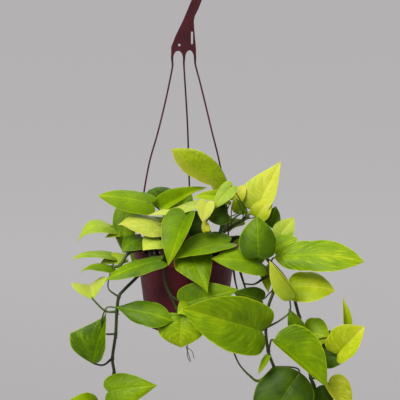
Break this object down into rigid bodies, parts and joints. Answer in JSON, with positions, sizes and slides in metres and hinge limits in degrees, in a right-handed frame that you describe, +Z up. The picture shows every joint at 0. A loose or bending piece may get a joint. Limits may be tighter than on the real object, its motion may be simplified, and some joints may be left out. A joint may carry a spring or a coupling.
{
  "type": "neon pothos in a hanging pot",
  "caption": "Lime green pothos vine spilling from a burgundy plastic basket pot on a plastic hanger with a hook.",
  "frame": {"origin": "the hook's inner crown, where the rod that holds the pot touches it; the pot hangs below on -Z", "axes": "+Z up along the pot's axis, +X to the right and -Y towards the side where the long vines trail"},
  "size_m": [0.4223, 0.2915, 0.6416],
  "materials": {
    "pot_plastic": "satin moulded",
    "hanger_plastic": "moulded",
    "potting_mix": "loose damp peat and bark",
    "leaf": "waxy living leaf"
  },
  "bodies": {
    "root": {"pot": "pot_plastic", "potting_mix": "potting_mix", "hanger": "hanger_plastic", "upper_left_shoot": "leaf", "left_shoot": "leaf", "left_short_vine": "leaf", "left_trailing_vine": "leaf", "front_shoot": "leaf", "front_vine": "leaf", "centre_right_vine": "leaf", "far_right_vine": "leaf", "right_shoot": "leaf", "upper_right_shoot": "leaf", "top_shoot": "leaf", "back_left_shoot": "leaf", "back_shoot": "leaf", "back_right_shoot": "leaf", "back_left_vine": "leaf", "back_right_vine": "leaf"}
  },
  "joints": []
}
